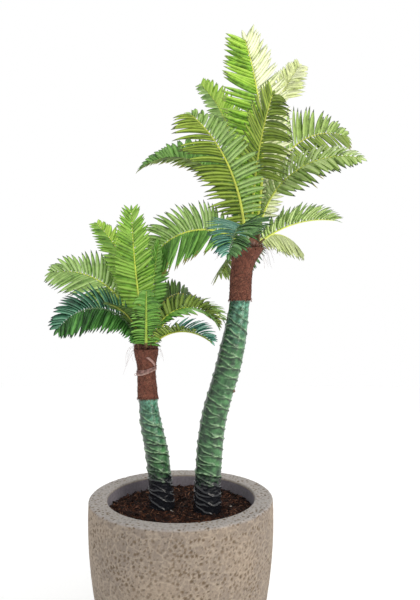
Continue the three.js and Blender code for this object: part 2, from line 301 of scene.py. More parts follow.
pot = {
    "footRadius": 146, "bellyRadius": 201, "bellyHeight": 330, "height": 380, "wall": 40, "floor": 40,
    "footRounding": 12, "rimRounding": 5, "roundingSteps": 4,
    "sides": 240, "ringStep": 5.4, "insideRings": 4, "rimRings": 13, "insideFrom": 0.8, "grain": (9, 0.8),
    "pitTries": 40000, "pitSpacing": 8.5, "pitApart": (0.7, 1.1), "pitRadius": (1.2, 4.4), "rimPits": 0.85,
    "pitWobble": (0.8, 230),  # share of the radius, repeats to the metre
    "pitDepth": 1.3, "pitRound": 0.8, "pitTint": 1.5,
    "patchSize": 60, "patchWear": (0.72, 0.7), "leastWear": 0.2, "plainFoot": 2,
    "bandHeight": 14, "bandWear": 0.4, "webTint": 0.45, "webAt": 1.25, "webFade": 2.5,
    "rimTint": 0.7, "rimFade": 4, "rimPitFade": 1.6,
    # the pit colour is painted shade in the dents
    "stone": ("#867a6f", "#968777"), "web": "#b3a593", "pit": "#685744",
    "inner": "#7e7880", "rim": "#a8a4a3",
}


def potRadius(height):
    spread = (pot["bellyRadius"] - pot["footRadius"]) / pot["bellyHeight"] ** 2
    return pot["bellyRadius"] - spread * (height - pot["bellyHeight"]) ** 2


def rounding(radius, height, size, fromDegrees, toDegrees):
    steps = pot["roundingSteps"]
    angles = [radians(fromDegrees + (toDegrees - fromDegrees) * i / steps) for i in range(steps + 1)]
    return [(radius + size * cos(a), height + size * sin(a)) for a in angles]


def potProfile():
    foot, rim, wall, step = (pot[key] for key in ("footRounding", "rimRounding", "wall", "ringStep"))
    rimHeight = pot["height"] - rim
    outer = potRadius(rimHeight)
    profile = rounding(potRadius(foot) - foot, foot, foot, -90, 0)
    profile += [(potRadius(h), h) for h in np.arange(foot + step, rimHeight, step)]
    profile += rounding(outer - rim, rimHeight, rim, 0, 90)
    flat = pot["rimRings"]
    profile += [(outer - rim - (wall - 2 * rim) * i / flat, pot["height"]) for i in range(1, flat)]
    profile += rounding(outer - wall + rim, rimHeight, rim, 90, 180)
    inside = np.linspace(rimHeight - step, pot["floor"], pot["insideRings"])
    return profile + [(potRadius(h) - wall, h) for h in inside]


def scatterPits(dice):  # dents at random over wall and rim, none too near another
    cell, height = pot["pitSpacing"], pot["height"]
    unrolled = height + pot["wall"] - pot["rimRounding"]  # up the wall, then over the rim
    found, grid = [], {}
    for _ in range(pot["pitTries"]):
        angle = dice.uniform(0, 2 * pi)
        run = dice.uniform(0, unrolled)
        over = max(0, run - height)
        radius = potRadius(min(run, height)) - over
        place = Vector((radius * cos(angle), radius * sin(angle), min(run, height)))
        size = dice.uniform(*pot["pitRadius"]) * (pot["rimPits"] if over else 1)
        key = tuple(int(c // cell) for c in place)
        near = [p for cells in product((-1, 0, 1), repeat=3)
                for p in grid.get(tuple(k + c for k, c in zip(key, cells)), [])]
        if all((p - place).length > cell * dice.uniform(*pot["pitApart"]) for p in near):
            grid.setdefault(key, []).append(place)
            found.append((place, size))
    return found


def castStone():
    stone, tree, shader = newMaterial("castStoneMix", {"Roughness": 0.88, "IOR": 1.5})
    place = addNode(tree, "TexCoord").outputs["Object"]
    masks = {mask: addNode(tree, "Attribute", attribute_name=mask).outputs["Fac"]
             for mask in ("pit", "web", "inner", "rim")}
    cloud = addNode(tree, "TexNoise", {"Vector": place, "Scale": patternScale(130), "Detail": 3})
    grit = addNode(tree, "TexNoise", {"Vector": place, "Scale": patternScale(5), "Detail": 5,
                                      "Roughness": 0.65})
    pores = addNode(tree, "TexVoronoi", {"Vector": place, "Scale": patternScale(9)})
    bent = addNode(tree, "TexNoise", {"Vector": place, "Scale": patternScale(30), "Detail": 2})
    warped = addNode(tree, "MixRGB", {"Fac": 0.02, "Color1": place, "Color2": bent.outputs["Color"]},
                     blend_type="ADD")
    cells = addNode(tree, "TexVoronoi", {"Vector": warped, "Scale": patternScale(22)},
                    feature="DISTANCE_TO_EDGE")
    veins = addNode(tree, "MapRange", {"Value": cells, "From Min": 0.12, "From Max": 0.01, "To Max": 0.42})
    pale = addNode(tree, "Math", {0: veins, 1: masks["web"]}, operation="MAXIMUM")
    pore = addNode(tree, "ValToRGB", {"Fac": pores}, stops=((0.1, "#9c9c9c"), (0.3, "#ffffff")))
    speck = addNode(tree, "ValToRGB", {"Fac": grit}, stops=((0.3, "#c4c4c4"), (0.62, "#ffffff")))
    colour = addNode(tree, "ValToRGB", {"Fac": cloud}, stops=zip((0.38, 0.62), pot["stone"]))
    # the pit mask paints shade into the dents
    for tint, mask in (("web", pale), ("pit", masks["pit"]), ("rim", masks["rim"])):
        colour = addNode(tree, "MixRGB", {"Fac": mask, "Color1": colour, "Color2": linear(pot[tint])})
    porous = addNode(tree, "MixRGB", {"Fac": 0.6, "Color1": colour, "Color2": pore}, blend_type="MULTIPLY")
    inner = linear(pot["inner"])
    lined = addNode(tree, "MixRGB", {"Fac": masks["inner"], "Color1": porous, "Color2": inner})
    gritty = addNode(tree, "MixRGB", {"Fac": 0.7, "Color1": lined, "Color2": speck}, blend_type="MULTIPLY")
    bump = addNode(tree, "Bump", {"Height": grit, "Strength": 0.35, "Distance": 0.8 * mm})
    feed(tree, shader, {"Base Color": gritty, "Normal": bump})
    return stone


def makePot():
    rings = [((0, 0, h * mm), r * mm) for r, h in potProfile()]
    shell = extrudeRings("pot_shell", rings, pot["sides"])
    addModifier(shell, "SUBSURF", levels=1, render_levels=1)
    closeEnds(shell)
    pits = scatterPits(random.Random(11))
    tree = kdtree.KDTree(len(pits))
    for index, (place, size) in enumerate(pits):
        tree.insert(place * mm, index)
    tree.balance()
    depths = []
    masks = {"pit": [], "web": [], "inner": [], "rim": []}
    lip = pot["height"] - pot["rimRounding"]
    wobbleShare, wobbleRepeats = pot["pitWobble"]
    meanWear, wearSwing = pot["patchWear"]
    patchRepeats = patternScale(pot["patchSize"])
    for vertex in shell.data.vertices:
        point = vertex.co
        height, radius = point.z / mm, hypot(point.x, point.y) / mm
        inside = height < lip and radius < potRadius(height) - pot["wall"] * pot["insideFrom"]
        wobble = 1 + wobbleShare * noise.noise(point * wobbleRepeats)
        _, index, distance = tree.find(point)
        reach = distance / mm / (pits[index][1] * wobble)
        patch = meanWear + wearSwing * noise.noise(point * patchRepeats + Vector((3, 0, 0)))
        plain = inside or height < pot["plainFoot"]
        worn = 0 if plain else clamp(patch, pot["leastWear"])  # some stretches are nearly smooth
        if lip - pot["bandHeight"] < height < lip:
            worn *= pot["bandWear"]
        depth = worn * max(0, 1 - reach ** 2) ** pot["pitRound"]
        depths.append(depth)
        # painted shade: darker the deeper the dent
        masks["pit"].append(min(1, pot["pitTint"] * depth))
        fromRing = abs(reach - pot["webAt"]) * pot["webFade"]
        masks["web"].append(worn * pot["webTint"] * clamp(1 - fromRing))
        masks["inner"].append(1 if inside else 0)
        overLip = clamp((height - lip) / pot["rimFade"])
        masks["rim"].append(pot["rimTint"] * max(0, 1 - pot["rimPitFade"] * depth) * overLip)
    addRelief(shell, "pits", depths, -pot["pitDepth"] * mm)
    addGrain(shell, "potGrain", *pot["grain"])
    storeMasks(shell, masks)
    dress(shell, castStone(), "pot_stone", "pot")
    print("pot", len(pits), "dents", len(shell.data.polygons), "faces")


makePot()


# coir: matted in the filling's bed and the sheaths, loose in chips, strands and the tie

def mattedCoir(name, finish):
    coir, tree, shader = newMaterial(name, {"Roughness": 0.95, "Specular IOR Level": finish["sheen"]})
    place = addNode(tree, "TexCoord").outputs["Object"]
    crumb = addNode(tree, "TexNoise", {"Vector": place, "Scale": patternScale(finish["size"]),
                                       "Detail": finish["detail"], "Roughness": finish["rough"]})
    tint = addNode(tree, "ValToRGB", {"Fac": crumb}, stops=zip((0.35, 0.65), finish["colours"]))
    bump = addNode(tree, "Bump", {"Height": crumb, "Strength": finish["bump"],
                                  "Distance": finish["depth"] * mm})
    feed(tree, shader, {"Base Color": tint, "Normal": bump})
    return coir


def looseCoir(name, finish):  # one material for each colour
    sockets = {"Roughness": 0.8, "Specular IOR Level": finish["sheen"]}
    grain = {"Scale": patternScale(finish["size"]), "Detail": 2}
    stops = ((0.3, finish["dark"]), (0.6, "#ffffff"))
    return [speckledPaint("%s%d" % (name, number), colour, sockets, grain, stops)
            for number, colour in enumerate(finish["colours"], 1)]


# filling: a bed of dark coir with loose chips and a few pale grains on it

soil = {
    "sides": 72, "sideRings": 6, "topRings": 20, "gap": 0.3, "sunk": 2,
    "swell": 6, "heapSize": 45, "heapSwing": 0.7, "heapReach": 0.99, "topSkin": 1,
    "chips": 3000, "chipLength": (5, 17), "chipWidth": (1.3, 3.7), "chipThickness": (0.7, 1.8),
    "chipTaper": (0.3, 0.9), "chipTilt": (0.3, 0.5), "chipLift": (0, 1.6),
    "wallMargin": 5, "footShare": 0.97, "chipShares": (6, 7, 4, 1.1, 0.02),
}
bedFinish = {"colours": ("#1b0e09", "#371d11"), "size": 7, "detail": 5, "rough": 0.5,
             "bump": 0.6, "depth": 2, "sheen": 0.2}
chipFinish = {"colours": ("#1b0f0b", "#331a11", "#563221", "#7e5843", "#d8d4cc"), "size": 3,
              "dark": "#a0a0a0", "sheen": 0.2}


def heap(x, y):  # small heaps and hollows in the bed, from 0 to 1
    size = patternScale(soil["heapSize"])
    return clamp(0.5 + soil["heapSwing"] * noise.noise(Vector((x, y, 0)) * size))


def chipCorners(dice, base):  # a flat tapered chip, tilted at random
    length, width, thick = (dice.uniform(*soil[key]) * mm
                            for key in ("chipLength", "chipWidth", "chipThickness"))
    endTilt, sideTilt = soil["chipTilt"]
    turn = Quaternion(upward, dice.uniform(0, pi))
    turn = turn @ Quaternion((0, 1, 0), dice.gauss(0, endTilt))
    turn = turn @ Quaternion((1, 0, 0), dice.gauss(0, sideTilt))
    taper = dice.uniform(*soil["chipTaper"])
    base = base + upward * dice.uniform(*soil["chipLift"]) * mm
    corners = []
    for end, share in ((-1, 1), (1, taper)):
        for across, rise in ((-1, -1), (1, -1), (1, 1), (-1, 1)):
            corner = Vector((end * length / 2, across * share * width / 2, rise * thick / 2))
            corners.append(base + turn @ corner)
    return corners


def makeSoil():
    low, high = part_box("soil")
    surface = high.z - soil["sunk"] * mm
    rings = []
    for height in np.linspace(low.z, surface, soil["sideRings"]):
        rings.append(((0, 0, height), (potRadius(height / mm) - pot["wall"] - soil["gap"]) * mm))
    outer = rings[-1][1]
    for i in range(1, soil["topRings"]):
        rings.append(((0, 0, surface), outer * (1 - i / soil["topRings"])))
    bed = extrudeRings("soil_bed", rings, soil["sides"])
    addModifier(bed, "SUBSURF", levels=1, render_levels=1)
    closeEnds(bed)
    lifts = []
    for vertex in bed.data.vertices:
        x, y, z = vertex.co
        onTop = z > surface - soil["topSkin"] * mm and hypot(x, y) < outer * soil["heapReach"]
        lifts.append(heap(x, y) if onTop else 0)
    addRelief(bed, "heaps", lifts, soil["swell"] * mm, direction="Z")
    dress(bed, mattedCoir("dampCoirBed", bedFinish), "coir_fill", "soil")

    dice = random.Random(5)
    feet = [ringsOf(node)[0] for node in ("trunk_tall", "trunk_small")]
    boxFaces = ((0, 3, 2, 1), (4, 5, 6, 7), (0, 1, 5, 4), (1, 2, 6, 5), (2, 3, 7, 6), (3, 0, 4, 7))
    colourCount = len(chipFinish["colours"])
    mesh = newMesh()
    while len(mesh["faces"]) < soil["chips"] * len(boxFaces):
        radius = (outer - soil["wallMargin"] * mm) * sqrt(dice.random())
        angle = dice.uniform(0, 2 * pi)
        x, y = radius * cos(angle), radius * sin(angle)
        if any(hypot(x - foot[1], y - foot[2]) < foot[3] * soil["footShare"] for foot in feet):
            continue
        first = len(mesh["points"])
        mesh["points"] += chipCorners(dice, Vector((x, y, surface + soil["swell"] * mm * heap(x, y))))
        mesh["faces"] += [tuple(first + corner for corner in face) for face in boxFaces]
        mesh["slots"] += dice.choices(range(colourCount), soil["chipShares"]) * len(boxFaces)
    chips = meshPiece("soil_chips", mesh, looseCoir("coirChip", chipFinish), smooth=False)
    settle(chips, "coir_fill")
    print("filling", soil["chips"], "chips")


makeSoil()


# trunks: moulded plastic with leaf scars, painted black at the foot, glossier towards the sheath

trunk = {
    "sides": 36, "ringStep": 5, "shrink": 1.7, "domeSteps": (20, 40, 60, 76, 86),
    "scarPitch": 21, "scarTurns": 3, "crossing": 55, "tilt": 3,
    "wander": ((6, 24), (3, 70)), "patchRepeats": 30,  # mm and repeats to the metre
    "ridgeWidth": 1.3, "ridgeHeight": 1.9, "swell": 0.9, "relief": 5, "fadeHeight": 48,
    "scarStrength": (0.65, 0.2, 1.2), "leastScar": 0.1,  # level scars, added on winding ones, patchiness
    # painted shadow: a dark band just under the lip of each scar, with its strength, depth under the scar
    # and reach
    "lineAt": 0.4, "grooveTint": 0.9, "grooveAt": 3, "grooveWidth": 2.6,
    # painted shade: the trunk is coloured darker on the side turned away from the lamp at the right front
    "shadeTint": 0.9, "shadeMean": 0.52, "shadeSwing": 0.62, "shadeTowards": 30,
    "stub": (-20, 262, 4.5), "stubTint": (0.8, 3), "creaseSize": 6, "crease": 1.7,
    "blackHeight": 78, "blackFade": (45, 15), "ragged": 60, "sprayHeight": 110, "headFade": (30, 35),
    # the ridge colour is a pale line over each scar: partly paint along the crest, partly painted highlight
    # on its lit top
    "green": ("#173b21", "#4d8450"), "top": ("#1d4e38", "#70b399"), "ridge": "#9bbf92", "groove": "#0b1d13",
    # the shade colour is painted shade for the trunk's side away from the lamp
    "shade": "#0b2114", "foot": "#17191e", "headBrown": "#6b4636",
}
heads = {"tall": 19.7, "small": 17.7}  # radius of the domed heads, mm
trunkRings = {name: ringsOf("trunk_" + name) for name in heads}
sheathRings = {name: ringsOf("sheath_" + name) for name in heads}


def ringAt(rings, height):  # centre and radius, between the rings
    return [float(np.interp(height, rings[:, 0], rings[:, column])) for column in (1, 2, 3)]


def cageOf(rings, heights, inset=0):  # circles for extrudeRings
    cage = []
    for height in heights:
        x, y, radius = ringAt(rings, height)
        cage.append(((x, y, height), radius - inset))
    return cage


def scarPhases(point, angle, height):  # whole numbers are scars: level, then winding down to the right
    wander = sum(size * noise.noise(point * repeats) for size, repeats in trunk["wander"])
    level = (height + wander + trunk["tilt"] * cos(angle)) / trunk["scarPitch"]
    wind = trunk["scarTurns"] * (angle + radians(trunk["crossing"])) / (2 * pi)
    return level % 1, (level + wind) % 1


def mouldedTrunk(name, footHeight, edgeHeight):
    plastic, tree, shader = newMaterial(name, {"IOR": 1.5, "Specular IOR Level": 0.5})
    place = addNode(tree, "TexCoord").outputs["Object"]
    height = addNode(tree, "SeparateXYZ", {"Vector": place}).outputs["Z"]
    masks = {mask: addNode(tree, "Attribute", attribute_name=mask).outputs["Fac"]
             for mask in ("ridge", "groove", "shade", "stub")}
    mottle = addNode(tree, "TexNoise", {"Vector": place, "Scale": patternScale(14), "Detail": 5})
    wearAndGlints = addNode(tree, "TexNoise", {"Vector": place, "Scale": patternScale(9), "Detail": 3})
    body = addNode(tree, "ValToRGB", {"Fac": mottle}, stops=zip((0.34, 0.66), trunk["green"]))
    # near the sheath the trunk's own bluish-green spray; the light end of this ramp is painted glints
    sprayAndGlints = addNode(tree, "ValToRGB", {"Fac": wearAndGlints}, stops=zip((0.42, 0.66), trunk["top"]))
    sprayFrom = edgeHeight - trunk["sprayHeight"] * mm
    toTop = addNode(tree, "MapRange", {"Value": height, "From Min": sprayFrom, "From Max": edgeHeight})
    broken = addNode(tree, "MapRange", {"Value": wearAndGlints, "From Min": 0.32, "From Max": 0.6})
    # pale line over each scar, partly painted highlight, broken up by the noise
    paleLineAndHighlight = addNode(tree, "Math", {0: masks["ridge"], 1: broken}, operation="MULTIPLY")
    ragged = addNode(tree, "Math", {0: wearAndGlints, 1: trunk["ragged"] * mm, 2: height}, operation="MULTIPLY_ADD")
    green, painted = (footHeight + (trunk["blackHeight"] + fade) * mm for fade in trunk["blackFade"])
    black = addNode(tree, "MapRange", {"Value": ragged, "From Min": green, "From Max": painted})
    headFrom, headTo = (edgeHeight + fade * mm for fade in trunk["headFade"])
    toHead = addNode(tree, "MapRange", {"Value": height, "From Min": headFrom, "From Max": headTo})
    brown = addNode(tree, "Math", {0: toHead, 1: masks["stub"]}, operation="MAXIMUM")
    colour = addNode(tree, "MixRGB", {"Fac": toTop, "Color1": body, "Color2": sprayAndGlints})
    coats = {"shade": masks["shade"], "groove": masks["groove"], "ridge": paleLineAndHighlight, "foot": black,
             "headBrown": brown}
    # the shade coat is painted shade on the side away from the lamp
    for tint, mask in coats.items():  # each over the one before
        colour = addNode(tree, "MixRGB", {"Fac": mask, "Color1": colour, "Color2": linear(trunk[tint])})
    shiny = addNode(tree, "Math", {0: toTop, 1: black}, operation="MAXIMUM")
    gloss = addNode(tree, "MapRange", {"Value": shiny, "To Min": 0.3, "To Max": 0.22})
    bump = addNode(tree, "Bump", {"Height": wearAndGlints, "Strength": 0.5, "Distance": 1 * mm})
    feed(tree, shader, {"Base Color": colour, "Roughness": gloss, "Normal": bump})
    return plastic


def trunkCage(name, foot, top, edge):  # the CAD rings evened out, then a dome; also the evened rings
    rings = trunkRings[name].copy()
    plain = rings[:, 3].copy()
    plain[1:-1] = (plain[:-2] + 2 * plain[1:-1] + plain[2:]) / 4  # takes the plain rings off the shaft
    shaft = (rings[:, 0] > foot) & (rings[:, 0] < edge)
    rings[shaft, 3] = plain[shaft]
    rings[rings[:, 0] < edge, 3] -= trunk["shrink"] * mm
    cage = cageOf(rings, np.linspace(foot, top, int((top - foot) / mm / trunk["ringStep"])))
    x, y, _ = ringAt(rings, top)
    dome = heads[name] * mm
    for degrees in trunk["domeSteps"]:
        a = radians(degrees)
        cage.append(((x, y, top + dome * sin(a)), dome * cos(a)))
    return cage, rings


def scarsAt(point, angle, height, fade):  # bulge in mm, pale line (partly painted highlight) and painted shadow under each scar, from 0 to 1
    plainScar, windingMore, patchiness = trunk["scarStrength"]
    bulge = paleLineAndHighlight = groove = 0
    for k, phase in enumerate(scarPhases(point, angle, height)):
        above, below = (1 - phase) * trunk["scarPitch"], phase * trunk["scarPitch"]
        patchy = noise.noise(point * trunk["patchRepeats"] + Vector((7 * k, 0, 0)))
        strong = fade * clamp(plainScar + windingMore * k + patchiness * patchy, trunk["leastScar"])
        ridge = exp(-(min(above, below) / trunk["ridgeWidth"]) ** 2)
        bulge = max(bulge, strong * (trunk["ridgeHeight"] * ridge + trunk["swell"] * phase ** 2))
        # the pale line sits on the upper side of the crest: partly painted highlight
        fromScar = below if below < above else -above
        paleLineAndHighlight = max(paleLineAndHighlight, strong * exp(-(fromScar - trunk["lineAt"]) ** 2))
        # painted shadow just under the scar above
        dip = exp(-((above - trunk["grooveAt"]) / trunk["grooveWidth"]) ** 2)
        groove = max(groove, trunk["grooveTint"] * strong * dip)
    return bulge, paleLineAndHighlight, groove


def makeTrunk(name, stubbed):
    foot, top = trunkRings[name][0, 0], trunkRings[name][-1, 0] - heads[name] * mm
    edge = sheathRings[name][0, 0]
    cage, rings = trunkCage(name, foot, top, edge)
    pole = extrudeRings("trunk_%s_scarred" % name, cage, trunk["sides"])
    addModifier(pole, "SUBSURF", levels=2, render_levels=2)
    closeEnds(pole)

    stubAngle, stubHeight, stubRadius = trunk["stub"]
    mostStub, stubGain = trunk["stubTint"]
    x, y, radius = ringAt(rings, foot + stubHeight * mm)
    stubPlace = Vector((x, y, foot + stubHeight * mm))
    stubPlace += Quaternion(upward, radians(stubAngle)) @ Vector((radius, 0, 0))
    depths = []
    masks = {"ridge": [], "groove": [], "shade": [], "stub": []}
    for vertex in pole.data.vertices:
        x, y, z = vertex.co
        middleX, middleY, _ = ringAt(rings, z)
        angle = atan2(y - middleY, x - middleX)
        fade = clamp((edge - z) / mm / trunk["fadeHeight"])  # flatter near the sheath, plain under it
        stub = max(0, 1 - (vertex.co - stubPlace).length / mm / stubRadius) if stubbed else 0
        bulge, paleLineAndHighlight, groove = scarsAt(vertex.co, angle, (z - foot) / mm, fade)
        depths.append(max(stub ** 0.5, bulge / trunk["relief"]))
        masks["ridge"].append(paleLineAndHighlight)
        masks["groove"].append(groove)
        # painted shade, darkest on the side facing away from the right front
        facing = cos(angle + radians(trunk["shadeTowards"]))
        masks["shade"].append(trunk["shadeTint"] * clamp(trunk["shadeMean"] - trunk["shadeSwing"] * facing))
        masks["stub"].append(min(mostStub, stubGain * stub))
    addRelief(pole, "scars", depths, trunk["relief"] * mm)
    addGrain(pole, "trunkCreases_" + name, trunk["creaseSize"], trunk["crease"])
    storeMasks(pole, masks)
    dress(pole, mouldedTrunk("mouldedTrunk_" + name, foot, edge), "trunk_plastic", "trunk_" + name)
    print("trunk", name, len(pole.data.polygons), "faces")


makeTrunk("tall", stubbed=True)
makeTrunk("small", stubbed=False)


# sheaths: sleeves of matted coir with loose fibres, frayed at both edges

sheath = {
    "sides": 48, "ringStep": 4, "thickness": 1.4, "matSize": 6, "mat": 1.1,
    "strands": 1500, "strandLength": (8, 24), "strandRadius": (0.2, 0.42), "strandPoints": 6,
    "strandSides": 3, "strandTaper": 0.6, "strandDrift": 0.45, "strandLift": (-0.3, 0.7),
    "strandJitter": 0.02, "leastStrand": 6, "leastStep": 0.5, "looseEvery": 6, "looseLift": (0, 2.5),
    "frayed": 170, "frayDrop": (2, 7), "frayOut": (0.3, 3), "frayFrom": (1, 5),
    "frayEarly": 0.4, "frayRadius": 0.35,
    "tuft": 300, "tuftRise": (6, 18), "tuftFrom": (0, 4), "tuftInset": (0.5, 8),
    "tuftLean": (-4, 5), "tuftEarly": 0.3, "tuftRadius": 0.4,
    "hairs": {"tall": 46, "small": 12}, "hairReach": (14, 42), "hairBend": (-0.6, 0.6),
    "hairFrom": (0, 10), "hairInset": 1, "hairFall": (4, 44), "hairRise": 9, "hairPoints": 8,
    "hairRadius": 0.3, "strandShares": (3, 6, 4, 1.5),
}
sleeveFinish = {"colours": ("#5f382d", "#784736"), "size": 5, "detail": 6, "rough": 0.7,
                "bump": 0.7, "depth": 1, "sheen": 0.5}
strandFinish = {"colours": ("#503026", "#704234", "#885545", "#a9795f"), "size": 8, "dark": "#b4b4b4",
                "sheen": 0.5}

coirPaint = mattedCoir("mattedCoir", sleeveFinish)
strandPaint = looseCoir("coirStrand", strandFinish)


def onSheath(name, angle, height, lift):  # a point over the sheath's surface
    x, y, radius = ringAt(sheathRings[name], height)
    reach = radius + lift
    return Vector((x + reach * cos(angle), y + reach * sin(angle), height))


def awayAt(angle):
    return Vector((cos(angle), sin(angle), 0))


def makeSleeve(name):
    rings = sheathRings[name]
    low, high = rings[0, 0], rings[-1, 0]
    levels = np.linspace(low, high, int((high - low) / mm / sheath["ringStep"]))
    cage = cageOf(rings, levels) + cageOf(rings, levels[::-1], sheath["thickness"] * mm)
    sleeve = extrudeRings("sheath_%s_mat" % name, cage, sheath["sides"])
    closeEnds(sleeve, bridged=True)
    addModifier(sleeve, "SUBSURF", levels=1, render_levels=1)
    addGrain(sleeve, "coirMat" + name, sheath["matSize"], sheath["mat"])
    dress(sleeve, coirPaint, "sheath_fibre", "sheath_" + name)


def makeFibres(name, seed):
    low, high = sheathRings[name][0, 0], sheathRings[name][-1, 0]
    dice = random.Random(seed)
    mesh = newMesh()

    def roll(key):
        return dice.uniform(*sheath[key])

    def addStrand(path, radius):
        thinning = sheath["strandTaper"] / (len(path) - 1)
        radii = [radius * mm * (1 - thinning * i) for i in range(len(path))]
        colour = dice.choices(range(len(strandPaint)), sheath["strandShares"])[0]
        growStrand(mesh, path, radii, sheath["strandSides"], colour)

    def addEnd(foot, lean, early, rise, radius):  # short, with part of its lean in the first half
        middle = foot + lean * early + upward * rise * 0.5
        addStrand([foot, middle, foot + lean + upward * rise], radius)

    for k in range(sheath["strands"]):  # pressed into the mat, some ends loose
        angle, start = dice.uniform(0, 2 * pi), dice.uniform(low, high)
        run = roll("strandLength") * mm * dice.uniform(-1, 1)
        drift = dice.gauss(0, sheath["strandDrift"])
        path = []
        for s in np.linspace(0, 1, sheath["strandPoints"]).tolist():
            height = clamp(start + run * s, low, high)
            lift = roll("strandLift") + (s * roll("looseLift") if k % sheath["looseEvery"] == 0 else 0)
            turned = angle + drift * s + dice.gauss(0, sheath["strandJitter"])
            path.append(onSheath(name, turned, height, lift * mm))
        if (path[-1] - path[0]).length > sheath["leastStrand"] * mm:
            kept = [p for a, p in zip(path, path[1:]) if (p - a).length > sheath["leastStep"] * mm]
            addStrand([path[0]] + kept, roll("strandRadius"))
    for _ in range(sheath["frayed"]):  # ends hanging out of the lower edge
        angle = dice.uniform(0, 2 * pi)
        drop, out = roll("frayDrop") * mm, roll("frayOut") * mm
        foot = onSheath(name, angle, low + roll("frayFrom") * mm, 0)
        addEnd(foot, awayAt(angle) * out, sheath["frayEarly"], -drop, sheath["frayRadius"])
    for _ in range(sheath["tuft"]):  # and standing up round the stalks
        angle = dice.uniform(0, 2 * pi)
        rise = roll("tuftRise") * mm
        foot = onSheath(name, angle, high - roll("tuftFrom") * mm, -roll("tuftInset") * mm)
        lean = awayAt(angle) * roll("tuftLean") * mm
        addEnd(foot, lean, sheath["tuftEarly"], rise, sheath["tuftRadius"])
    for _ in range(sheath["hairs"][name]):  # long loose hairs that curl out and down
        angle = dice.uniform(0, 2 * pi)
        reach, bend = roll("hairReach") * mm, roll("hairBend")
        foot = onSheath(name, angle, high - roll("hairFrom") * mm, -sheath["hairInset"] * mm)
        fall = roll("hairFall") * mm
        path = []
        for s in np.linspace(0, 1, sheath["hairPoints"]).tolist():
            climbed = sheath["hairRise"] * mm * sin(pi * s) - fall * s * s
            path.append(foot + awayAt(angle + bend * s * s) * reach * s + upward * climbed)
        addStrand(path, sheath["hairRadius"])
    fibres = meshPiece("sheath_%s_fibres" % name, mesh, strandPaint)
    settle(fibres, "sheath_fibre")
    print("sheath", name, len(mesh["faces"]), "fibre faces")


for name, seed in (("tall", 14), ("small", 15)):
    makeSleeve(name)
    makeFibres(name, seed)


# tie: a twist of lighter fibre round the small sheath, one end slipped under itself, the other curled

tie = {
    "strands": 11, "bandWidth": 9, "tilt": 6, "tiltTowards": 10, "strandRadius": (0.7, 1.1),
    "strandSides": 5, "turnSteps": 48, "bandLift": (1.3, 2.3),
    "wave": 0.9, "halfWaves": 5, "wavePhase": (0, 6),
    "slipStrands": 6, "slipFrom": (-22, 5), "slipTo": (-78, 31), "slipSpread": 2.4, "slipSteps": 9,
    "slipLift": (0.9, 1.2), "slipRadius": 0.7,
    "curlRadius": 3.6, "curlAngle": 196, "curlDrop": 3, "curlGap": 0.8, "curlTightens": 0.03,
    "curlSteps": 20, "curlEnd": -1.1, "curlStrand": 0.55,
}
tieFinish = {"colours": ("#94706a", "#a8857d", "#bd9b91"), "size": 8, "dark": "#b4b4b4", "sheen": 0.5}


def makeTie():
    low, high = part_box("tie_small")
    middle = (low.z + high.z) / 2
    dice = random.Random(31)
    mesh = newMesh()

    def addStrand(path, radius):
        colour = dice.randrange(len(tieFinish["colours"]))
        growStrand(mesh, path, [radius * mm] * len(path), tie["strandSides"], colour)

    def onTie(angle, offset, lift):
        tilt = tie["tilt"] * cos(angle - radians(tie["tiltTowards"]))
        return onSheath("small", angle, middle + (tilt + offset) * mm, lift * mm)

    steps = tie["turnSteps"]
    for k in range(tie["strands"]):
        offset = (k / (tie["strands"] - 1) - 0.5) * tie["bandWidth"]
        phase, lift = dice.uniform(*tie["wavePhase"]), dice.uniform(*tie["bandLift"])
        path = []
        for i in range(steps + 1):
            wave = tie["wave"] * sin(tie["halfWaves"] * pi * i / steps + phase)
            path.append(onTie(2 * pi * i / steps, offset + wave, lift))
        addStrand(path, dice.uniform(*tie["strandRadius"]))
    (fromAngle, fromOffset), (toAngle, toOffset) = tie["slipFrom"], tie["slipTo"]
    leastLift, moreLift = tie["slipLift"]
    steps = tie["slipSteps"]
    for k in range(tie["slipStrands"]):
        shift = (k - tie["slipStrands"] / 2) * tie["slipSpread"]
        path = []
        for i in range(steps + 1):
            angle = radians(fromAngle + (toAngle - fromAngle) * i / steps + shift)
            offset = fromOffset + (toOffset - fromOffset) * i / steps
            path.append(onTie(angle, offset, leastLift + moreLift * sin(pi * i / steps)))
        addStrand(path, tie["slipRadius"])
    curl = radians(tie["curlAngle"])
    hub = onTie(curl, -tie["curlDrop"], tie["curlRadius"] + tie["curlGap"])
    path = []
    for i, a in enumerate(np.linspace(pi, tie["curlEnd"] * pi, tie["curlSteps"])):
        out = awayAt(curl) * cos(a) + upward * sin(a)
        path.append(hub + out * tie["curlRadius"] * mm * (1 - tie["curlTightens"] * i))
    addStrand(path, tie["curlStrand"])
    twist = meshPiece("tie_small_twist", mesh, looseCoir("tieStrand", tieFinish))
    settle(twist, "tie_fibre", "tie_small")
    print("tie", len(mesh["faces"]), "faces")


makeTie()


# fronds: moulded leaf sprays on a wire rib, grown by the rule of the solids with closer leaflets

fronds = {
    "ribWidth": 7, "ribDepth": 4.5, "ribTip": 1.6, "ribStep": 9, "ribSides": 8, "footSink": 5,
    "brownFoot": 0.06, "leafletFrom": 0.14, "angleFoot": 74, "angleTip": 36, "sag": 0.2,
    "swell": (0.12, 0.95), "swellPower": 0.7, "endLeaflet": 0.25,
    "width": (10, 1.15), "slimming": (0.55, 90), "thickness": 0.7, "thinning": 0.6,
    "fold": 0.3, "bow": 0.16, "twist": 14, "rootInset": 0.4,
    "pitchJitter": 0.12, "liftJitter": 4, "angleJitter": 2.5, "twistJitter": 5,
    "lengthJitter": (0.93, 1.02), "widthJitter": (0.9, 1.08), "lighterShares": (3, 2),
    "cuts": (1, 0.75, 0.5, 0.3), "probes": (0.35, 0.7, 1), "trunkGap": 1.5, "tipFrom": 6,
    "stations": (0, 0.1, 0.24, 0.42, 0.6, 0.76, 0.87, 0.95),
    "halfWidths": (0.55, 0.8, 0.98, 1, 0.9, 0.68, 0.42, 0.2),
}

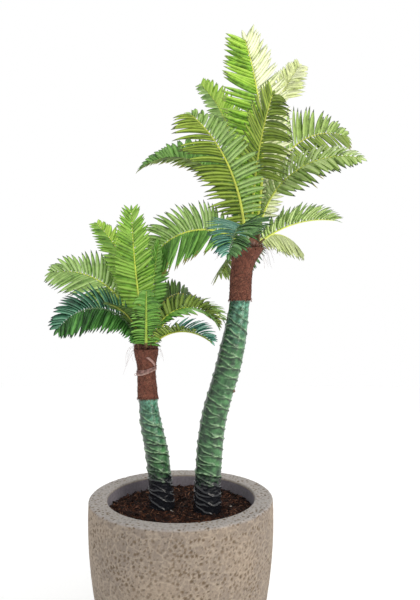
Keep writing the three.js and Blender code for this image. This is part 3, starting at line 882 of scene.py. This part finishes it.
leafTints = {  # body shades from light to dark, tip, rib; each leaflet takes two neighbouring body shades, the darker as painted shade on one half of its fold
    "lime": (("#c2e95f", "#a9da46", "#8ac237"), "#9cb556", "#d6e35a"),
    "leaf": (("#aed864", "#93c649", "#74aa36"), "#7f9f4c", "#cbdc52"),
    # pale and cream are nearly white: the fronds' own pale green with painted highlight, for the
    # brightest-lit fronds
    "pale": (("#f6fbd4", "#edf6c0", "#dfeda6"), "#e2ebbc", "#e8ef98"),
    "cream": (("#eff6c2", "#e4efaa", "#d2e292"), "#d5deb0", "#e4eb84"),
    "fresh": (("#bcdc8c", "#a5cb6f", "#89b358"), "#6f8458", "#d0de5c"),
    "vivid": (("#86ba55", "#6ca53e", "#548c31"), "#5a7d3e", "#a2be4b"),
    "olive": (("#a4bc4c", "#8ca735", "#6f8a29"), "#5c6730", "#cdd65a"),
    "bronze": (("#90a743", "#79922f", "#5f7825"), "#4f592c", "#bec64c"),
    "shade": (("#67873e", "#52722f", "#3e5824"), "#33441d", "#a0a848"),
    "sage": (("#b6d07e", "#9bba5f", "#7f9f48"), "#566345", "#d0dc60"),
    "silver": (("#d5eaa6", "#c0db88", "#a4c56a"), "#879872", "#dae468"),
    "straw": (("#d0dd9e", "#becd86", "#a6b96c"), "#9aa678", "#d6de70"),
    "moss": (("#92ac4c", "#7a9638", "#627c2c"), "#93903a", "#c2ca50"),
    "deep": (("#6f9c5c", "#588848", "#437038"), "#2f4a34", "#a0b456"),
    "pine": (("#62a04e", "#48843a", "#31622b"), "#2a4a29", "#8c9f4c"),
    "blue": (("#86b9a4", "#65a28e", "#498676"), "#305854", "#90ae86"),
    "teal": (("#5a9274", "#447b5f", "#32614a"), "#1f3b2f", "#65855a"),
    "grass": (("#8dc55d", "#74af43", "#5c9635"), "#8d8a38", "#c6d450"),
}
# the darker mottle on the darker body shades deepens the painted shade on the shaded halves
leafFinish = {
    "bodyRoughness": 0.48, "bodyMottle": ("#eeeeee", "#d4d4d4", "#a4a4a4"), "mottle": "#dedede",
    "tipRoughness": 0.55, "ribRoughness": 0.4, "stalk": "#6b5a35", "stalkRoughness": 0.6,
}

# azimuth, seat, rise, droop, length, leaflet, roll, lift, bare share, leaflet pitch, tints of the two sides
# the side tints are partly the fronds' own colours and partly painted light: a side that stood in light
# takes a lighter tint than one in shade
frondRows = {
    "tall": [
        (-15, 60, 79, -28, 428, 98, 88, 12, 0.1, 7.2, "lime", "pale"),
        (52, 60, 88, 46, 476, 66, -45, 15, 0.72, 9, "cream", "cream"),
        (-78, 60, 88, 55, 308, 86, 55, 10, 0.4, 8.5, "olive", "bronze"),
        (232, 30, 86, 69, 308, 96, -12, 5, 0.06, 8.5, "olive", "fresh"),
        (119, 60, 88, 54, 456, 62, 45, 15, 0.3, 9, "lime", "fresh"),
        (143, 42, 84, 106, 413, 74, 45, 20, 0.14, 8, "vivid", "moss"),
        (40, 30, 88, 93, 456, 96, -65, 15, 0.14, 11, "moss", "sage"),
        (-27, 30, 88, 104, 304, 78, -55, 10, 0.06, 8.5, "sage", "silver"),
        (-2, 12, 40, 47, 172, 70, -10, 48, 0.06, 6.8, "silver", "fresh"),
        (52, 12, 30, 66, 212, 60, -25, -40, 0.1, 8, "straw", "straw"),
        (260, 12, 22, 59, 313, 74, 0, 25, 0.06, 7.5, "blue", "deep"),
        (160, 12, 38, 110, 286, 84, 80, 8, 0.06, 6.4, "fresh", "grass"),
        (117, 12, -10, 34, 142, 64, 20, -30, 0.14, 8, "moss", "moss"),
        (92, 30, 68, 84, 320, 70, 0, 15, 0.14, 10, "deep", "deep"),
        (88, 12, 24, 70, 270, 62, 0, 10, 0.14, 10, "deep", "deep"),
    ],
    "small": [
        (180, 84, 80, -8, 279, 60, 88, 15, 0.08, 6.8, "leaf", "leaf"),
        (70, 60, 82, 14, 225, 42, -50, 25, 0.3, 8, "vivid", "vivid"),
        (-84, 0, 58, 41, 208, 40, 0, 12, 0.02, 6.8, "vivid", "vivid"),
        (165, 12, 86, 97, 293, 80, 55, 12, 0.08, 8.5, "fresh", "fresh"),
        (226, 12, 72, 118, 247, 66, 65, 5, 0.06, 6.5, "teal", "pine"),
        (247, 30, 58, 50, 164, 48, 10, 15, 0.06, 7, "shade", "shade"),
        (57, 30, 88, 122, 230, 50, -55, 12, 0.14, 9, "shade", "shade"),
        (37, 12, 73, 118, 238, 50, -10, 45, 0.3, 9, "fresh", "shade"),
        (-39, 12, 40, 68, 173, 52, -10, 40, 0.06, 7.5, "moss", "blue"),
        (143, 60, 87, 52, 306, 54, 35, 15, 0.1, 7.5, "lime", "leaf"),
        (132, 28, 88, 65, 245, 55, 35, 15, 0.1, 9, "deep", "fresh"),
        (118, 12, 48, 80, 220, 50, 0, 10, 0.14, 10, "deep", "deep"),
        (20, 30, 86, 149, 206, 44, -40, 30, 0.1, 8.5, "grass", "moss"),
        (95, 30, 66, 84, 260, 60, 0, 15, 0.14, 10, "deep", "deep"),
    ],
}
# uneven fronds: shares of length, bare part and turn of the two sides, width, swell and sag of the leaflets
frondOdds = {
    "tall": {
        1: {"sideShare": (1.1, 0.85), "widen": 1.35, "swell": (0.14, 0.87)},
        2: {"swell": (0.12, 0.91)},
        3: {"widen": 0.85, "swell": (0.12, 0.89), "sag": 0.48},
        4: {"widen": 0.86, "swell": (0.12, 0.92), "sag": 0.38},
        5: {"sideShare": (1, 0.65), "swell": (0.12, 0.88)},
        6: {"sideShare": (1, 0.6), "widen": 1.3},
        7: {"sideBare": (0.45, 0.14), "sideTurn": (30, 0)},
        8: {"sideBare": (0.36, 0.06), "sideShare": (1, 0.82), "widen": 1.1, "swell": (0.3, 0.96)},
        10: {"widen": 1.15},
        11: {"sideShare": (1, 1.2)},
        12: {"sideTurn": (6, 3), "widen": 1.2},
    },
    "small": {
        1: {"swell": (0.12, 0.9)},
        3: {"swell": (0.32, 0.9), "sag": 0.45},
        4: {"sideBare": (0.08, 0.35)},
        5: {"sideTurn": (0, -5), "widen": 1.3},
        7: {"widen": 0.95},
        8: {"widen": 0.8},
        9: {"widen": 1.15},
        10: {"swell": (0.12, 0.92)},
    },
}


def leafPlastic(name, colour, roughness, dark=leafFinish["mottle"]):
    sockets = {"Roughness": roughness, "IOR": 1.46}
    grain = {"Scale": patternScale(12), "Detail": 3}
    stops = ((0.3, dark), (0.62, "#ffffff"))
    return speckledPaint(name, colour, sockets, grain, stops, {"Strength": 0.2, "Distance": 0.4 * mm})


leafPaint, ribPaint = {}, {}
for tint, (bodies, tip, rib) in leafTints.items():
    leafPaint[tint] = [leafPlastic("leaf_%s_%d" % (tint, i), colour, leafFinish["bodyRoughness"], dark)
                       for i, (colour, dark) in enumerate(zip(bodies, leafFinish["bodyMottle"]), 1)]
    leafPaint[tint].append(leafPlastic("leafTip_" + tint, tip, leafFinish["tipRoughness"]))
    ribPaint[tint] = leafPlastic("rib_" + tint, rib, leafFinish["ribRoughness"])
stalkPaint = leafPlastic("stalkFoot", leafFinish["stalk"], leafFinish["stalkRoughness"])


def climb(frond, elevation):
    return frond["outward"] * cos(elevation) + upward * sin(elevation)


def ribFrame(frond, t):  # along the rib, across the blade, out of its upper face
    along = climb(frond, frond["rise"] - frond["droop"] * t)
    across = Vector((frond["outward"].y, -frond["outward"].x, 0))
    across.rotate(Quaternion(along, -frond["roll"]))
    return along, across, across.cross(along)


def ribPoint(frond, t):
    elevation = frond["rise"] - frond["droop"] * t
    bend = frond["length"] / frond["droop"]
    out = bend * (sin(frond["rise"]) - sin(elevation))
    rise = bend * (cos(elevation) - cos(frond["rise"]))
    return frond["start"] + frond["outward"] * out + upward * rise


def readFrond(row, odds, head, headRadius):
    azimuth, seat, rise, droop, length, leaf, roll, lift, bare, pitch, *tints = row
    frond = {"rise": radians(rise), "droop": radians(droop), "roll": radians(roll),
             "lift": radians(lift), "length": length * mm, "leaf": leaf * mm, "bare": bare,
             "pitch": pitch * mm, "tints": tints, "sideShare": (1, 1), "sideBare": (bare, bare),
             "sideTurn": (0, 0), "widen": 1, "swell": fronds["swell"], "sag": fronds["sag"]}
    frond.update(odds)
    frond["outward"] = Vector((cos(radians(azimuth)), sin(radians(azimuth)), 0))
    outOfHead = climb(frond, radians(seat))
    _, across, up = ribFrame(frond, 0)
    halfWidth, halfDepth = fronds["ribWidth"] / 2, fronds["ribDepth"] / 2
    reach = abs(across.dot(outOfHead)) * halfWidth + abs(up.dot(outOfHead)) * halfDepth
    frond["start"] = head + outOfHead * (headRadius + reach * mm)
    return frond


def growRib(frond):
    steps = round(frond["length"] / mm / fronds["ribStep"])
    sink = fronds["footSink"] * mm / frond["length"]
    path, spokes = [], []
    for i in range(steps + 1):
        t = i / steps * (1 + sink) - sink
        _, across, up = ribFrame(frond, t)
        width, depth = (size + (fronds["ribTip"] - size) * max(0, t)
                        for size in (fronds["ribWidth"], fronds["ribDepth"]))
        path.append(ribPoint(frond, t))
        spokes.append((up * depth * mm / 2, across * width * mm / 2))
    mesh = newMesh()
    slots = [1 if i / steps < fronds["brownFoot"] else 0 for i in range(steps)]
    growTube(mesh, path, spokes, fronds["ribSides"], slots)
    return mesh


def touchesTrunk(point):
    for name in heads:
        for rings in (trunkRings[name], sheathRings[name]):
            if rings[0, 0] <= point.z <= rings[-1, 0]:
                x, y, radius = ringAt(rings, point.z)
                if hypot(point.x - x, point.y - y) < radius + fronds["trunkGap"] * mm:
                    return True
    return False


def leafletReach(frond, u, side, dice):  # degrees from the rib and length; side 0 is the one at its end
    if not side:
        return 0, frond["leaf"] * fronds["endLeaflet"]
    which = 0 if side > 0 else 1
    angle = fronds["angleFoot"] + (fronds["angleTip"] - fronds["angleFoot"]) * u
    angle += dice.gauss(0, fronds["angleJitter"]) + frond["sideTurn"][which]
    swell = frond["swell"][0] + (frond["swell"][1] - frond["swell"][0]) * u
    length = frond["leaf"] * sin(pi * swell) ** fronds["swellPower"]
    return angle, length * dice.uniform(*fronds["lengthJitter"]) * frond["sideShare"][which]


def leafletFaces(mesh, first, base, lighter):
    faces, slots = mesh["faces"], mesh["slots"]
    count = len(fronds["stations"])
    tip = first + 4 * count
    for i in range(count):
        left, top, right, below = (first + 4 * i + k for k in range(4))
        if i == count - 1:
            faces += [(left, top, tip), (top, right, tip), (left, tip, below), (below, tip, right)]
        else:
            nextLeft, nextTop, nextRight, nextBelow = (first + 4 * (i + 1) + k for k in range(4))
            faces += [(left, top, nextTop, nextLeft), (top, right, nextRight, nextTop),
                      (left, nextLeft, nextBelow, below), (below, nextBelow, nextRight, right)]
        if i >= fronds["tipFrom"]:
            slots += [base + 3] * 4
        else:
            slots += [base + lighter, base + lighter + 1] * 2  # the two halves of the fold, above and below, one lighter and one darker: painted light and shade
    faces.append((first, first + 3, first + 2, first + 1))
    slots.append(base + 2)


def growLeaflet(mesh, frond, t, side, dice):
    u = max(0, (t - fronds["leafletFrom"]) / (1 - fronds["leafletFrom"]))
    along, across, up = ribFrame(frond, t)
    lift = frond["lift"] + radians(dice.gauss(0, fronds["liftJitter"]))
    angle, length = leafletReach(frond, u, side, dice)
    angle = radians(angle)
    sideways = across * side * cos(lift) + up * sin(lift)
    heading = along * cos(angle) + sideways * sin(angle)
    drop = upward * frond["sag"] * hypot(heading.x, heading.y)
    bow = along * fronds["bow"]
    normal = up * cos(lift) - across * side * sin(lift)
    twist = fronds["twist"] + dice.gauss(0, fronds["twistJitter"])
    normal.rotate(Quaternion(heading, side * radians(twist)))
    widest, toPitch = fronds["width"]
    leastWidth, fullLength = fronds["slimming"]
    half = min(widest * mm, toPitch * frond["pitch"]) / 2 * frond["widen"]
    half *= dice.uniform(*fronds["widthJitter"]) * min(1, leastWidth + length / (fullLength * mm))
    root = ribPoint(frond, t) + sideways * fronds["ribTip"] * mm * fronds["rootInset"]

    def midline(s):
        return root + (heading * s + bow * (s * s - s) - drop * s * s) * length

    for cut in fronds["cuts"]:  # shorter or left out where it would run into a trunk
        if not any(touchesTrunk(midline(s * cut)) for s in fronds["probes"]):
            break
    else:
        return
    points = mesh["points"]
    first = len(points)
    lighter = dice.choices((0, 1), fronds["lighterShares"])[0]
    for s, share in zip(fronds["stations"], fronds["halfWidths"]):
        middle = midline(s * cut)
        tangent = (heading + bow * (2 * s * cut - 1) - drop * 2 * s * cut).normalized()
        edge = tangent.cross(normal).normalized()
        face = edge.cross(tangent)
        crease = face * half * share * fronds["fold"]
        points.append(middle - edge * half * share + crease)
        points.append(middle)
        points.append(middle + edge * half * share + crease)
        points.append(middle - face * fronds["thickness"] * mm * (1 - fronds["thinning"] * s))
    points.append(midline(cut))
    leafletFaces(mesh, first, 0 if side > 0 else 4, lighter)


def makeFrond(name, frond, dice):
    firstTint, secondTint = frond["tints"]
    ribMesh, leafMesh = growRib(frond), newMesh()
    rib = meshPiece(name + "_rib", ribMesh, [ribPaint[firstTint], stalkPaint])
    count = round(frond["length"] * (1 - frond["bare"]) / frond["pitch"])
    jitter = fronds["pitchJitter"]
    for i in range(count):
        for side, bare in zip((1, -1), frond["sideBare"]):
            share = (i + 0.5 + dice.uniform(-jitter, jitter)) / count
            t = frond["bare"] + (1 - frond["bare"]) * share
            if t > bare:
                growLeaflet(leafMesh, frond, t, side, dice)
    growLeaflet(leafMesh, frond, 1, 0, dice)
    leaflets = meshPiece(name + "_leaflets", leafMesh, leafPaint[firstTint] + leafPaint[secondTint])
    nodes = [n for n in frame["nodes"] if n == name or n.startswith(name + "_")]
    slot = next(s["material_slot"] for s in frame["record"]["subparts"] if s["node"] == nodes[0])
    settle(leaflets, slot, *nodes)
    settle(rib, slot)
    return len(leafMesh["faces"]) + len(ribMesh["faces"])


leafDice = random.Random(23)
for crown, rows in frondRows.items():
    pole = trunkRings[crown][-1]
    headRadius = heads[crown] * mm
    head = Vector((pole[1], pole[2], pole[0] - headRadius))
    faceCount = 0
    for number, row in enumerate(rows, 1):
        name = "frond_%s_%02d" % (crown, number)
        frond = readFrond(row, frondOdds[crown].get(number, {}), head, headRadius)
        faceCount += makeFrond(name, frond, leafDice)
    print("crown", crown, len(rows), "fronds", faceCount, "faces")
